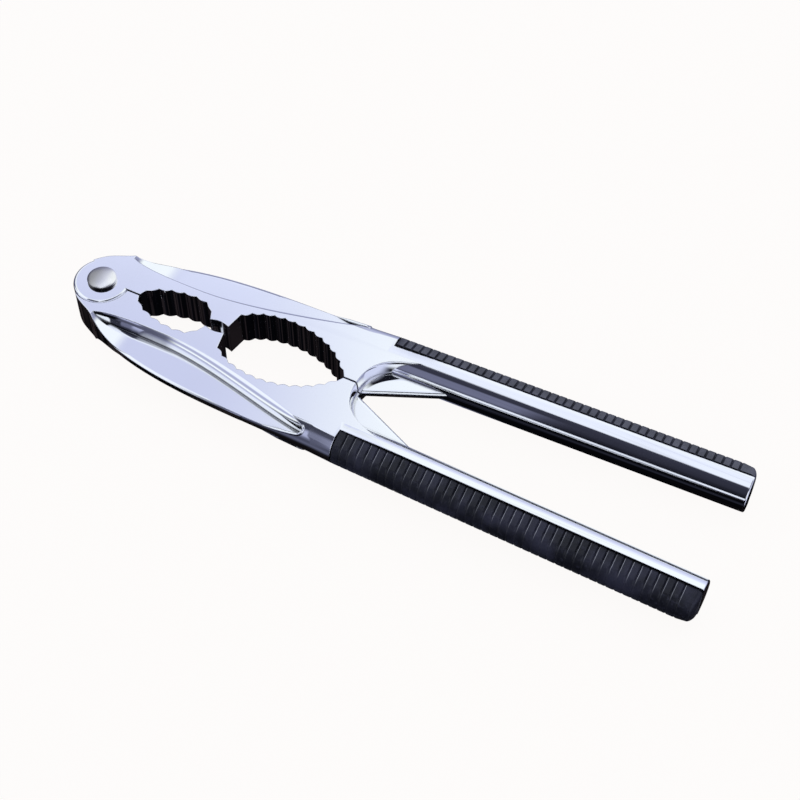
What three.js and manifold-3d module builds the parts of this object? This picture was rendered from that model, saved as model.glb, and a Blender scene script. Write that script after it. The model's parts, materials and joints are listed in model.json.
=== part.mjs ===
// Hand-held nutcracker: two die-cast levers on a riveted half-lap pivot, with
// toothed jaws for small and large nuts and ribbed rubber grips let into the
// outer side of the round handles. Millimetres, +Z up; the handles run along +X.

import * as THREE from 'three';
import { mergeVertices } from 'three/addons/utils/BufferGeometryUtils.js';
import Module from 'manifold-3d';

const wasm = await Module();
wasm.setup();

// ---- Driving dimensions ----------------------------------------------------
// Every lever dimension is given for the upper lever, from the pivot axis: x
// towards the handle's end, y outwards from the closing line, z from mid-plane.

// Plate, flange and closing line
const PLATE_THICKNESS = 11.4; // head, jaws and neck
const FLANGE_THICKNESS = 2.6; // thin wing outside the jaw and web behind it
const JAW_GAP = 0.5; // between the closed levers along the closing line

// Eye and pivot
const EYE_RADIUS = 8.3; // round boss of each lever at the pivot
const EYE_RIM_ROUND = 0.8; // rounded top edge of the boss
const LAP_CLEARANCE = 0.3; // eye to the other lever, at its face and its rim
const SHANK_RADIUS = 2.5; // rivet shank
const SHANK_CLEARANCE = 0.2; // radial, in the eyes and the washer
const RIVET_SEAT = 0.15; // running gap under the rivet heads and the washer
const RIVET_HEAD_RADIUS = 4.2;
const RIVET_HEAD_RIM = 0.45; // straight side of the head, below its dome
const RIVET_DOME = 0.95;
const WASHER_RADIUS = 4.6;
const WASHER_THICKNESS = 0.6;
const TAIL_RADIUS = 3.6; // formed end of the rivet, behind the washer
const TAIL_DOME = 0.9;

// Head outline, from the eye to the corner where the wing begins
const HEAD_LEAVES_EYE_DEG = 140; // polar angle of the tangent point
const HEAD_CORNER_X = 2.75;
const HEAD_CORNER_Y = 11.5;
const HEAD_SWELL = 5.0; // how far the outline follows the eye's tangent
const HEAD_CORNER_DEG = 26.7; // outline's heading where it reaches the corner

// Wing: the leaf-shaped pocket's floor outside the jaw
const WING_HEADING_DEG = 32; // outline's heading as it leaves the corner
const WING_SWELL = 21; // length of that lead
const RAMP_START = 1.05; // the pocket's floor begins this far past the corner
const RAMP_LENGTH = 11; // and falls to the flange over this length
const NOSE_X = 76.1; // tip of the pocket's round far end
const NOSE_Y = 19.6;
const NOSE_WIDTH = 2.15; // across that end
const RIM_LEAVES_EDGE = 57; // where the pocket's rim parts from the wing's edge

// Jaw plateau: its outer edge, and the rounded wall down to the flange
const WAIST_X = 27; // where the plateau is narrowest
const WAIST_Y = 8.8;
const WALL_SPREAD = 2.35; // how far the wall's foot stands out from its top, at its widest
const PLATEAU_LEAVES = 71.5; // where the plateau's edge straightens along the neck
const NECK_X = 78; // where the wing has run into the handle

// Nut openings: round-crowned teeth between sharp notches
const TOOTH_DEPTH = 0.6;
const SMALL_MOUTH = 12.5; // where the closing line opens out at the small opening
const SMALL_START_X = 13.3; // first notch
const SMALL_START_Y = 2.15;
const SMALL_END_X = 33.8; // last notch
const SMALL_END_Y = 3.85;
const SMALL_HEIGHT = 6.8; // closing line to the highest notch
const SMALL_TEETH = 6;
const SLOT_START = 34.95; // slot between the openings
const SLOT_END = 40.85;
const SLOT_HALF_WIDTH = 1.3; // at its ends, from the closing line
const SLOT_BOW = 0.6; // how much further its middle stands
const LARGE_START_X = 41.85;
const LARGE_START_Y = 6.6;
const LARGE_END_X = 76.7;
const LARGE_END_Y = 2.25;
const LARGE_HEIGHT = 11.2;
const LARGE_TEETH = 12;
const LARGE_MOUTH = 77.95; // where the closing line begins again

// Throat behind the jaw tips, and the web across its corner
const JAW_END = 81.6; // far end of the jaw tips, at the plateau's face
const THROAT_RISE = 9.3; // how far the throat runs straight out
const THROAT_END = 104; // where the throat has run into the handle
const THROAT_SPREAD = 0.7; // how far the throat wall's foot stands out from its top
const WEB_SETBACK = 1.15; // web's free edge begins this far past the jaw's end
const WEB_START_Y = 0.54;
const WEB_END_X = 107; // that edge's other end, inside the handle
const WEB_END_Y = 11.35;

// Round handle
const PIVOT_TO_END = 189.7; // pivot axis to the flat end of the handle
const HANDLE_RADIUS = 6.2;
const NECK_RADIUS = 5.95; // bare round between the plateau and the grip
const NECK_FLAT_END = 84.5; // the neck is level with the plateau up to here
const NECK_FLAT_FADE = 8.5; // and grows to the handle's full round over this length
const COLLAR_LENGTH = 1.4; // flare from the neck up to the grip's lip
const HANDLE_AXIS_Y = 15.8; // of the handle's axis at NECK_X
const HANDLE_SPLAY_DEG = 1.6; // handle's axis outwards from the closing line
const WING_ROOT_RADIUS = 1.5; // where the handle's taper fades into the wing
const TAPER_START = 46;
const TAPER_END = 72; // where the root has grown to the neck's full round
const INNER_CORNER_RADIUS = 2; // handle's end, in plan
const OUTER_CORNER_RADIUS = 5;
const END_ROUND = 1.5; // rounded edge of the handle's flat end

// Grip
const GRIP_START = 85.3;
const GRIP_RADIUS = 6.3; // over the crests of the ribs
const GRIP_CORE_RADIUS = 3.5; // lever's tongue inside the grip
const GRIP_CORE_SETBACK = 6; // tongue's end to the handle's end
const GRIP_CLEARANCE = 0.3; // grip to lever
const GRIP_KNEE_DEG = 45; // the flat flank runs from the split down to here
const RIB_PITCH = 2.365;
const RIB_COUNT = 42;
const RIB_GROOVE_WIDTH = 0.7;
const RIB_GROOVE_DEPTH = 0.5; // on the flat flanks
const RIB_GROOVE_SIDE = 0.15; // round the side

// ---- Values worked out from them -------------------------------------------
const HALF = PLATE_THICKNESS / 2;
const FLANGE_HALF = FLANGE_THICKNESS / 2;
const CLOSING_Y = JAW_GAP / 2;
const WALL_DROP = HALF - FLANGE_HALF;
const RECESS_RADIUS = EYE_RADIUS + LAP_CLEARANCE;
const REACH = PIVOT_TO_END + 20; // past every end of the lever
const DEEP = PLATE_THICKNESS + HANDLE_RADIUS; // past every face of the lever
const ROUND_STEPS = 36; // facets round a handle
const EYE_STEPS = 44;
const WALL_STEPS = 5; // facets down the pocket's wall
const SPLAY = THREE.MathUtils.degToRad(HANDLE_SPLAY_DEG);

const corner = new THREE.Vector2(HEAD_CORNER_X, HEAD_CORNER_Y);
const waist = new THREE.Vector2(WAIST_X, WAIST_Y);

/** Unit vector at an angle in degrees from +X. */
function heading(degrees) {
  const angle = THREE.MathUtils.degToRad(degrees);
  return new THREE.Vector2(Math.cos(angle), Math.sin(angle));
}

/** A point moved by a length along a direction. */
function moved(point, direction, length) {
  return point.clone().addScaledVector(direction, length);
}

/** Height in plan of the handle's axis at a distance x from the pivot. */
function axisY(x) {
  return HANDLE_AXIS_Y + (x - NECK_X) * Math.tan(SPLAY);
}

// ---- Solids ----------------------------------------------------------------

/** Closed manifold solid of a three.js geometry. */
function solid(geometry) {
  const bare = geometry.index ? geometry.toNonIndexed() : geometry.clone();
  bare.deleteAttribute('normal');
  bare.deleteAttribute('uv');
  const merged = mergeVertices(bare, 1e-5);
  const vertProperties = new Float32Array(merged.attributes.position.array);
  const triVerts = new Uint32Array(merged.index.array);
  return new wasm.Manifold(new wasm.Mesh({ numProp: 3, vertProperties, triVerts }));
}

/** three.js geometry of a manifold solid. */
function geometryOf(manifold) {
  const mesh = manifold.getMesh();
  const geometry = new THREE.BufferGeometry();
  geometry.setAttribute('position', new THREE.BufferAttribute(mesh.vertProperties, 3));
  geometry.setIndex(new THREE.BufferAttribute(mesh.triVerts, 1));
  return geometry;
}

/** Outline through points, with straight sides between them. */
function outline(points) {
  return new THREE.Shape(points.map(([x, y]) => new THREE.Vector2(x, y)));
}

/** Straight-walled prism of a plan outline between two heights. */
function prism(shape, low, high) {
  const options = { depth: high - low, bevelEnabled: false, curveSegments: 24 };
  return solid(new THREE.ExtrudeGeometry(shape, options).translate(0, 0, low));
}

/** Slab about the mid-plane whose rim is rounded out to a foot at the flange. */
function roundedSlab(shape, spread) {
  const options = {
    depth: FLANGE_THICKNESS,
    bevelThickness: WALL_DROP,
    bevelSize: spread,
    bevelSegments: 5,
    curveSegments: 16,
  };
  return solid(new THREE.ExtrudeGeometry(shape, options).translate(0, 0, -FLANGE_HALF));
}

/** Prism along Y of an outline drawn in the XZ plane. */
function crossPrism(shape, low, high) {
  const options = { depth: high - low, bevelEnabled: false, curveSegments: 9 };
  const geometry = new THREE.ExtrudeGeometry(shape, options);
  return solid(geometry.rotateX(Math.PI / 2).translate(0, high, 0));
}

/** Body turned about Z from a profile of [radius, z] points. */
function turned(profile, steps) {
  const points = profile.map(([radius, z]) => new THREE.Vector2(radius, z));
  return solid(new THREE.LatheGeometry(points, steps).rotateX(Math.PI / 2));
}

/** Round bar about the vertical axis between two heights. */
function disc(radius, low, high) {
  return turned([[0, low], [radius, low], [radius, high], [0, high]], EYE_STEPS);
}

/** Lays a body built about its own Z axis along the handle, z becoming the run. */
function alongHandle(manifold) {
  const start = [NECK_X, HANDLE_AXIS_Y, 0];
  return manifold.rotate([0, 90, 0]).rotate([0, 0, HANDLE_SPLAY_DEG]).translate(start);
}

/** Distance along the handle's axis from NECK_X to a station given in x. */
function run(x) {
  return (x - NECK_X) / Math.cos(SPLAY);
}

/** A solid and its mirror image in the mid-plane, as one. */
function bothFaces(manifold) {
  return manifold.add(manifold.scale([1, 1, -1]));
}

// ---- Lever: outlines in plan -----------------------------------------------

/** Points of a curve cut into round-crowned teeth, with a notch at each end. */
function toothed(curve, teeth) {
  const stepsPerTooth = 6;
  const points = [];
  for (let i = 0; i <= teeth * stepsPerTooth; i += 1) {
    const u = i / (teeth * stepsPerTooth);
    const notch = curve.getPointAt(u);
    const along = curve.getTangentAt(u);
    const rise = TOOTH_DEPTH * Math.abs(Math.sin(Math.PI * teeth * u));
    points.push([notch.x + rise * along.y, notch.y - rise * along.x]);
  }
  return points;
}

/** Line through the notches of the small opening. */
function smallOpening() {
  const width = SMALL_END_X - SMALL_START_X;
  return new THREE.CubicBezierCurve(
    new THREE.Vector2(SMALL_START_X, SMALL_START_Y),
    new THREE.Vector2(SMALL_START_X + 0.077 * width, 0.81 * SMALL_HEIGHT),
    new THREE.Vector2(SMALL_END_X - 0.112 * width, 1.43 * SMALL_HEIGHT),
    new THREE.Vector2(SMALL_END_X, SMALL_END_Y),
  );
}

/** Line through the notches of the large opening. */
function largeOpening() {
  const width = LARGE_END_X - LARGE_START_X;
  return new THREE.CubicBezierCurve(
    new THREE.Vector2(LARGE_START_X, LARGE_START_Y),
    new THREE.Vector2(LARGE_START_X + 0.191 * width, 1.188 * LARGE_HEIGHT),
    new THREE.Vector2(LARGE_END_X - 0.264 * width, 1.214 * LARGE_HEIGHT),
    new THREE.Vector2(LARGE_END_X, LARGE_END_Y),
  );
}

/** Everything on the far side of the lever's jaw line, openings included. */
function jawLine() {
  const slot = SLOT_END - SLOT_START;
  return outline([
    [-REACH, -REACH],
    [-REACH, CLOSING_Y],
    [SMALL_MOUTH, CLOSING_Y],
    ...toothed(smallOpening(), SMALL_TEETH),
    [SLOT_START, SLOT_HALF_WIDTH],
    [SLOT_START + 0.3 * slot, SLOT_HALF_WIDTH + 0.9 * SLOT_BOW],
    [SLOT_START + 0.5 * slot, SLOT_HALF_WIDTH + SLOT_BOW],
    [SLOT_START + 0.7 * slot, SLOT_HALF_WIDTH + 0.9 * SLOT_BOW],
    [SLOT_END, SLOT_HALF_WIDTH],
    ...toothed(largeOpening(), LARGE_TEETH),
    [LARGE_MOUTH, CLOSING_Y],
    [REACH, CLOSING_Y],
    [REACH, -REACH],
  ]);
}

/** Adds the head's outline, from the pivot by way of the eye to the corner. */
function drawHead(shape) {
  const leave = heading(HEAD_LEAVES_EYE_DEG).multiplyScalar(EYE_RADIUS);
  const swell = moved(leave, heading(HEAD_LEAVES_EYE_DEG - 90), HEAD_SWELL);
  const arrive = moved(corner, heading(HEAD_CORNER_DEG), -HEAD_SWELL);
  shape.moveTo(0, 0);
  shape.lineTo(leave.x, leave.y);
  shape.bezierCurveTo(swell.x, swell.y, arrive.x, arrive.y, corner.x, corner.y);
}

/** Points of the wing's outer edge, from the corner to the neck. */
function wingEdge() {
  const lead = moved(corner, heading(WING_HEADING_DEG), WING_SWELL);
  const root = new THREE.Vector2(NECK_X, HANDLE_AXIS_Y + NECK_RADIUS);
  const merge = moved(root, heading(HANDLE_SPLAY_DEG), -(NECK_X - HEAD_CORNER_X) / 3);
  return new THREE.CubicBezierCurve(corner, lead, merge, root).getPoints(40);
}

/** Height of a row of points at a distance x from the pivot. */
function heightAt(points, x) {
  const next = Math.max(1, points.findIndex((point) => point.x >= x));
  const [a, b] = [points[next - 1], points[next]];
  return THREE.MathUtils.lerp(a.y, b.y, (x - a.x) / (b.x - a.x));
}

/** Outline of the thin wing: it draws back into the handle's root past the rim. */
function wingOutline() {
  const shape = new THREE.Shape();
  drawHead(shape);
  for (const point of wingEdge()) {
    const past = Math.max(0, point.x - RIM_LEAVES_EDGE) / (TAPER_END - RIM_LEAVES_EDGE);
    const inset = WING_ROOT_RADIUS * past;
    if (point.x > corner.x && past < 1) shape.lineTo(point.x, point.y - inset);
  }
  shape.lineTo(NECK_X, HANDLE_AXIS_Y);
  shape.lineTo(WAIST_X, 0);
  return shape;
}

/** Outline of everything of full depth, drawn on past the pocket and the throat. */
function slabOutline() {
  const neckEdge = HANDLE_AXIS_Y + Math.sqrt(NECK_RADIUS ** 2 - HALF ** 2);
  const shape = new THREE.Shape();
  drawHead(shape);
  for (const point of wingEdge()) {
    if (point.x > corner.x && point.x < RIM_LEAVES_EDGE) shape.lineTo(point.x, point.y);
  }
  shape.lineTo(RIM_LEAVES_EDGE, NOSE_Y);
  shape.lineTo(PLATEAU_LEAVES, NOSE_Y - WALL_SPREAD / 4);
  shape.lineTo(PLATEAU_LEAVES, neckEdge);
  shape.lineTo(NECK_FLAT_END, neckEdge);
  shape.lineTo(THROAT_END, HANDLE_AXIS_Y);
  shape.lineTo(THROAT_END, -1);
  shape.lineTo(0, -1);
  return shape;
}

/** Plan of the pocket: the plateau's edge, the round nose and the outer rim. */
function pocketOutline() {
  const sideX = NOSE_X - 0.3 * NOSE_WIDTH;
  const sideY = NOSE_Y - 0.4 * NOSE_WIDTH;
  const rimX = NOSE_X - 0.85 * NOSE_WIDTH;
  const rimY = NOSE_Y + 0.6 * NOSE_WIDTH;
  const span = sideX - waist.x;
  const rise = sideY - waist.y;
  const headSpan = waist.x - corner.x;
  const headRise = corner.y - waist.y;
  const rimSpan = rimX - RIM_LEAVES_EDGE;
  const leaves = heightAt(wingEdge(), RIM_LEAVES_EDGE);
  const shape = new THREE.Shape();
  shape.moveTo(corner.x, corner.y);
  shape.bezierCurveTo(
    corner.x + 0.145 * headSpan, corner.y - 0.96 * headRise,
    waist.x - 0.37 * headSpan, waist.y,
    waist.x, waist.y,
  );
  shape.bezierCurveTo(
    waist.x + 0.39 * span, waist.y,
    sideX - 0.01 * span, sideY - 0.08 * rise,
    sideX, sideY,
  );
  shape.bezierCurveTo(
    NOSE_X + 0.12 * NOSE_WIDTH, NOSE_Y - 0.12 * NOSE_WIDTH,
    NOSE_X + 0.16 * NOSE_WIDTH, NOSE_Y + 0.5 * NOSE_WIDTH,
    rimX, rimY,
  );
  shape.bezierCurveTo(
    rimX - 0.24 * rimSpan, rimY + 0.2 * NOSE_WIDTH,
    RIM_LEAVES_EDGE + 0.35 * rimSpan, rimY + 0.14 * NOSE_WIDTH,
    RIM_LEAVES_EDGE, leaves + 0.1,
  );
  shape.lineTo(RIM_LEAVES_EDGE, NOSE_Y + HANDLE_RADIUS);
  shape.lineTo(corner.x, NOSE_Y + HANDLE_RADIUS);
  return shape;
}

/** Everything on the jaw's side of the throat, up to the plateau's face. */
function throatOutline() {
  const span = THROAT_END - JAW_END;
  const endY = axisY(THROAT_END) - HANDLE_RADIUS / 4;
  const shape = new THREE.Shape();
  shape.moveTo(-REACH, -REACH);
  shape.lineTo(JAW_END, -REACH);
  shape.lineTo(JAW_END, CLOSING_Y);
  shape.bezierCurveTo(
    JAW_END, CLOSING_Y + THROAT_RISE,
    JAW_END + 0.3 * span, endY - 0.05 * span,
    THROAT_END, endY,
  );
  shape.lineTo(THROAT_END, REACH);
  shape.lineTo(-REACH, REACH);
  return shape;
}

// ---- Lever: solids ---------------------------------------------------------

/** How far the pocket wall's foot stands out from its top, as points along x. */
function wallSpread() {
  return new THREE.CubicBezierCurve(
    new THREE.Vector2(corner.x, 0.38 * WALL_SPREAD),
    new THREE.Vector2(waist.x + 0.27 * (NOSE_X - waist.x), 0.64 * WALL_SPREAD),
    new THREE.Vector2(waist.x + 0.8 * (NOSE_X - waist.x), 1.83 * WALL_SPREAD),
    new THREE.Vector2(NOSE_X + 1, 0),
  ).getPoints(40);
}

/** Space inside the pocket's wall and nose, the wall rounding over at its top. */
function walledSpace() {
  const options = { depth: WALL_STEPS + 1, steps: WALL_STEPS + 1, bevelEnabled: false };
  options.curveSegments = 14;
  const geometry = new THREE.ExtrudeGeometry(pocketOutline(), options);
  const spread = wallSpread();
  const position = geometry.attributes.position;
  for (let i = 0; i < position.count; i += 1) {
    const [x, y] = [position.getX(i), position.getY(i)];
    const step = Math.round(position.getZ(i));
    const turn = (Math.min(step, WALL_STEPS) / WALL_STEPS) * (Math.PI / 2);
    const onWall = y < NOSE_Y;
    position.setZ(i, step > WALL_STEPS ? DEEP : FLANGE_HALF + WALL_DROP * Math.sin(turn));
    if (onWall) position.setY(i, y + heightAt(spread, x) * Math.cos(turn));
  }
  return solid(geometry);
}

/** Space over the wing: a concave ramp down from the head, then a flat floor. */
function pocketSpace() {
  const start = corner.x + RAMP_START;
  const end = start + RAMP_LENGTH;
  const shape = new THREE.Shape();
  shape.moveTo(start, DEEP - 1);
  shape.lineTo(start, HALF);
  shape.bezierCurveTo(
    start + 0.15 * RAMP_LENGTH, FLANGE_HALF + 0.4 * WALL_DROP,
    start + 0.45 * RAMP_LENGTH, FLANGE_HALF,
    end, FLANGE_HALF,
  );
  shape.lineTo(NECK_X, FLANGE_HALF);
  shape.lineTo(NECK_X, DEEP - 1);
  return bothFaces(walledSpace().intersect(crossPrism(shape, 0, REACH)));
}

/** Round root of the handle, tapering into the wing's edge towards the head. */
function handleTaper() {
  const length = NECK_X - TAPER_START;
  const cone = new THREE.CylinderGeometry(1, 1, length, ROUND_STEPS, 10);
  cone.rotateZ(-Math.PI / 2).translate(NECK_X - length / 2, 0, 0);
  const edge = wingEdge();
  const position = cone.attributes.position;
  for (let i = 0; i < position.count; i += 1) {
    const x = position.getX(i);
    const share = Math.min(1, (x - TAPER_START) / (TAPER_END - TAPER_START));
    const grown = 1 - (1 - share) ** 1.5;
    const radius = THREE.MathUtils.lerp(WING_ROOT_RADIUS, NECK_RADIUS, grown);
    const outer = THREE.MathUtils.lerp(heightAt(edge, x), axisY(x) + NECK_RADIUS, share ** 3);
    position.setY(i, radius * (position.getY(i) - 1) + outer);
    position.setZ(i, radius * position.getZ(i));
  }
  return solid(cone);
}

/** Space over the neck, which is level with the plateau. */
function neckFlats() {
  const shape = outline([
    [TAPER_START, HALF],
    [NECK_FLAT_END, HALF],
    [NECK_FLAT_END + NECK_FLAT_FADE, HANDLE_RADIUS + 0.02],
    [NECK_FLAT_END + NECK_FLAT_FADE, DEEP],
    [TAPER_START, DEEP],
  ]);
  return bothFaces(crossPrism(shape, 0, REACH));
}

/** [radius, z] points of the rounded edge where a bar meets its flat end. */
function endRound(radius, end) {
  const steps = 4;
  const points = [];
  for (let i = 0; i <= steps; i += 1) {
    const turn = (i / steps) * (Math.PI / 2);
    points.push([
      radius - END_ROUND * (1 - Math.cos(turn)),
      end - END_ROUND * (1 - Math.sin(turn)),
    ]);
  }
  return points;
}

/** Neck, collar and handle as one turned bar, its end trimmed in plan. */
function handleBar() {
  const lip = run(GRIP_START);
  const end = run(PIVOT_TO_END);
  const bar = turned([
    [0, -1],
    [NECK_RADIUS, -1],
    [NECK_RADIUS, lip - COLLAR_LENGTH],
    [NECK_RADIUS + 0.2 * (HANDLE_RADIUS - NECK_RADIUS), lip - 0.5 * COLLAR_LENGTH],
    [HANDLE_RADIUS, lip - 0.15 * COLLAR_LENGTH],
    ...endRound(HANDLE_RADIUS, end),
    [0, end],
  ], ROUND_STEPS);
  return alongHandle(bar).intersect(handleTrim());
}

/** Plan shape that rounds the corners at the handle's end, about its axis. */
function handleTrim() {
  const reach = HANDLE_RADIUS + 1;
  const end = run(PIVOT_TO_END);
  const inner = -HANDLE_RADIUS;
  const outer = GRIP_RADIUS;
  const shape = new THREE.Shape();
  shape.moveTo(-TAPER_START, -reach);
  shape.lineTo(end - OUTER_CORNER_RADIUS, -reach);
  shape.lineTo(end - INNER_CORNER_RADIUS, inner);
  shape.absarc(
    end - INNER_CORNER_RADIUS, inner + INNER_CORNER_RADIUS,
    INNER_CORNER_RADIUS, -Math.PI / 2, 0, false,
  );
  shape.absarc(
    end - OUTER_CORNER_RADIUS, outer - OUTER_CORNER_RADIUS,
    OUTER_CORNER_RADIUS, 0, Math.PI / 2, false,
  );
  shape.lineTo(end - 2 * OUTER_CORNER_RADIUS, reach);
  shape.lineTo(-TAPER_START, reach);
  const block = prism(shape, -DEEP, DEEP);
  return block.rotate([0, 0, HANDLE_SPLAY_DEG]).translate([NECK_X, HANDLE_AXIS_Y, 0]);
}

/** Outer half of the handle that the grip fills, round the lever's tongue. */
function gripSeat() {
  const start = run(GRIP_START);
  const end = run(PIVOT_TO_END);
  const half = outline([
    [start, 0],
    [end + DEEP, 0],
    [end + DEEP, DEEP],
    [start, DEEP],
  ]);
  const block = prism(half, -DEEP, DEEP);
  const placed = block.rotate([0, 0, HANDLE_SPLAY_DEG]).translate([NECK_X, HANDLE_AXIS_Y, 0]);
  const tongueEnd = end - GRIP_CORE_SETBACK;
  const tongue = turned([
    [0, 0],
    [GRIP_CORE_RADIUS, 0],
    [GRIP_CORE_RADIUS, tongueEnd],
    [0, tongueEnd],
  ], ROUND_STEPS);
  return placed.subtract(alongHandle(tongue));
}

/** Thin web across the corner between the jaw's end and the handle. */
function web() {
  const shape = outline([
    [JAW_END - WEB_SETBACK, WEB_START_Y],
    [JAW_END + WEB_SETBACK, WEB_START_Y],
    [WEB_END_X, WEB_END_Y],
    [WEB_END_X, axisY(WEB_END_X)],
    [JAW_END - WEB_SETBACK, HANDLE_AXIS_Y],
  ]);
  return prism(shape, -FLANGE_HALF, FLANGE_HALF);
}

/** Boss of the lever's own half round the pivot, with a rounded outer edge. */
function eye() {
  const low = LAP_CLEARANCE / 2;
  const profile = [[0, low], [EYE_RADIUS, low]];
  const steps = 5;
  for (let i = 0; i <= steps; i += 1) {
    const turn = (i / steps) * (Math.PI / 2);
    const radius = EYE_RADIUS - EYE_RIM_ROUND * (1 - Math.cos(turn));
    profile.push([radius, HALF - EYE_RIM_ROUND * (1 - Math.sin(turn))]);
  }
  profile.push([0, HALF]);
  return turned(profile, EYE_STEPS);
}

/** The upper lever; turned half over about X it is the lower one. */
function lever() {
  const slab = prism(slabOutline(), -HALF, HALF)
    .intersect(roundedSlab(throatOutline(), THROAT_SPREAD));
  const handle = handleTaper().add(handleBar()).subtract(neckFlats());
  const recess = disc(RECESS_RADIUS, -DEEP, LAP_CLEARANCE / 2);
  const bore = disc(SHANK_RADIUS + SHANK_CLEARANCE, -DEEP, DEEP);
  return slab
    .add(handle)
    .subtract(pocketSpace())
    .add(prism(wingOutline(), -FLANGE_HALF, FLANGE_HALF))
    .add(web())
    .subtract(prism(jawLine(), -DEEP, DEEP))
    .subtract(gripSeat())
    .subtract(recess)
    .add(eye())
    .subtract(bore);
}

// ---- Grip ------------------------------------------------------------------

/** Radius factor of the grip's section: flat flanks down to each knee, then round. */
function gripSection(angle) {
  const knee = THREE.MathUtils.degToRad(GRIP_KNEE_DEG);
  const fromSplit = Math.min(angle, Math.PI - angle);
  if (fromSplit >= knee) return 1;
  return Math.cos(knee / 2) / Math.cos(fromSplit - knee / 2);
}

/** Depth of a rib's groove at an angle of the section: shallower round the side. */
function grooveDepth(degrees) {
  const fromSide = Math.abs(90 - degrees);
  const share = THREE.MathUtils.smoothstep(fromSide, 30, 55);
  return THREE.MathUtils.lerp(RIB_GROOVE_SIDE, RIB_GROOVE_DEPTH, share);
}

/** Ribbed half-round bar: one ring of points at each crest edge and groove. */
function ribbedBar() {
  const start = run(GRIP_START) + GRIP_CLEARANCE;
  const end = run(PIVOT_TO_END);
  const crest = () => 0;
  const stations = [[start, crest]];
  for (let i = 1; i <= RIB_COUNT; i += 1) {
    const groove = start + i * RIB_PITCH;
    stations.push([groove - RIB_GROOVE_WIDTH / 2, crest]);
    stations.push([groove, grooveDepth]);
    stations.push([groove + RIB_GROOVE_WIDTH / 2, crest]);
  }
  for (const [radius, z] of endRound(GRIP_RADIUS, end)) {
    stations.push([z, () => GRIP_RADIUS - radius]);
  }

  const knee = GRIP_KNEE_DEG;
  const roundSteps = 5;
  const angles = [0];
  for (let i = 0; i <= roundSteps; i += 1) {
    angles.push(knee + (i / roundSteps) * (180 - 2 * knee));
  }
  angles.push(180);
  const ring = angles.length + 1;

  const positions = [];
  for (const [z, depthAt] of stations) {
    for (const degrees of angles) {
      const angle = THREE.MathUtils.degToRad(degrees);
      const radius = (GRIP_RADIUS - depthAt(degrees)) * gripSection(angle);
      positions.push(z, radius * Math.sin(angle), radius * Math.cos(angle));
    }
    positions.push(z, 0, 0);
  }
  const indices = [];
  for (let s = 0; s + 1 < stations.length; s += 1) {
    for (let i = 0; i < ring; i += 1) {
      const a = s * ring + i;
      const b = s * ring + ((i + 1) % ring);
      indices.push(a, a + ring, b, b, a + ring, b + ring);
    }
  }
  const last = (stations.length - 1) * ring;
  for (let i = 0; i + 2 < ring; i += 1) {
    const hub = ring - 1;
    indices.push(hub, i, i + 1);
    indices.push(last + hub, last + i + 1, last + i);
  }
  const geometry = new THREE.BufferGeometry();
  geometry.setAttribute('position', new THREE.Float32BufferAttribute(positions, 3));
  geometry.setIndex(indices);
  const bar = solid(geometry);
  return bar.rotate([0, 0, HANDLE_SPLAY_DEG]).translate([NECK_X, HANDLE_AXIS_Y, 0]);
}

/** The upper grip: a ribbed shell over the lever's tongue, closed at its end. */
function grip() {
  const end = run(PIVOT_TO_END);
  const socketEnd = end - GRIP_CORE_SETBACK + GRIP_CLEARANCE;
  const socket = turned([
    [0, 0],
    [GRIP_CORE_RADIUS + GRIP_CLEARANCE, 0],
    [GRIP_CORE_RADIUS + GRIP_CLEARANCE, socketEnd],
    [0, socketEnd],
  ], ROUND_STEPS);
  const face = prism(outline([
    [-REACH, -REACH],
    [REACH, -REACH],
    [REACH, GRIP_CLEARANCE],
    [-REACH, GRIP_CLEARANCE],
  ]), -DEEP, DEEP);
  const split = face.rotate([0, 0, HANDLE_SPLAY_DEG]).translate([NECK_X, HANDLE_AXIS_Y, 0]);
  return ribbedBar()
    .subtract(alongHandle(socket))
    .subtract(split)
    .intersect(handleTrim());
}

// ---- Rivet and washer ------------------------------------------------------

/** [radius, z] points of a shallow dome from its rim to the axis. */
function dome(radius, base, height) {
  const steps = 6;
  const points = [];
  for (let i = 0; i <= steps; i += 1) {
    const turn = (i / steps) * (Math.PI / 2);
    points.push([radius * Math.cos(turn), base + height * Math.sin(turn)]);
  }
  points[steps][0] = 0;
  return points;
}

/** Rivet with a domed head above the upper eye and a formed tail below. */
function rivet() {
  const seat = HALF + RIVET_SEAT;
  const tail = -(HALF + 2 * RIVET_SEAT + WASHER_THICKNESS);
  return turned([
    ...dome(TAIL_RADIUS, tail, -TAIL_DOME).reverse(),
    [SHANK_RADIUS, tail],
    [SHANK_RADIUS, seat],
    [RIVET_HEAD_RADIUS, seat],
    ...dome(RIVET_HEAD_RADIUS, seat + RIVET_HEAD_RIM, RIVET_DOME),
  ], EYE_STEPS);
}

/** Flat washer between the lower eye and the rivet's formed tail. */
function washer() {
  const high = -(HALF + RIVET_SEAT);
  const low = high - WASHER_THICKNESS;
  const hole = SHANK_RADIUS + SHANK_CLEARANCE;
  return disc(WASHER_RADIUS, low, high).subtract(disc(hole, low - 1, high + 1));
}

// ---- Assembly --------------------------------------------------------------

const chrome = { color: 0xd4d8e6, roughness: 0.08, metalness: 1 };
const satinSteel = { color: 0xb9b4ae, roughness: 0.35, metalness: 1 };
const rubber = { color: 0x17161b, roughness: 0.6, metalness: 0 };

/** Named mesh of a solid, with its own material. */
function piece(name, geometry, finish) {
  const mesh = new THREE.Mesh(geometry, new THREE.MeshStandardMaterial(finish));
  mesh.name = name;
  return mesh;
}

const leverGeometry = geometryOf(lever());
const gripGeometry = geometryOf(grip());

const upperArm = new THREE.Group();
upperArm.add(piece('upper_lever', leverGeometry, chrome));
upperArm.add(piece('upper_grip', gripGeometry, rubber));

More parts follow.
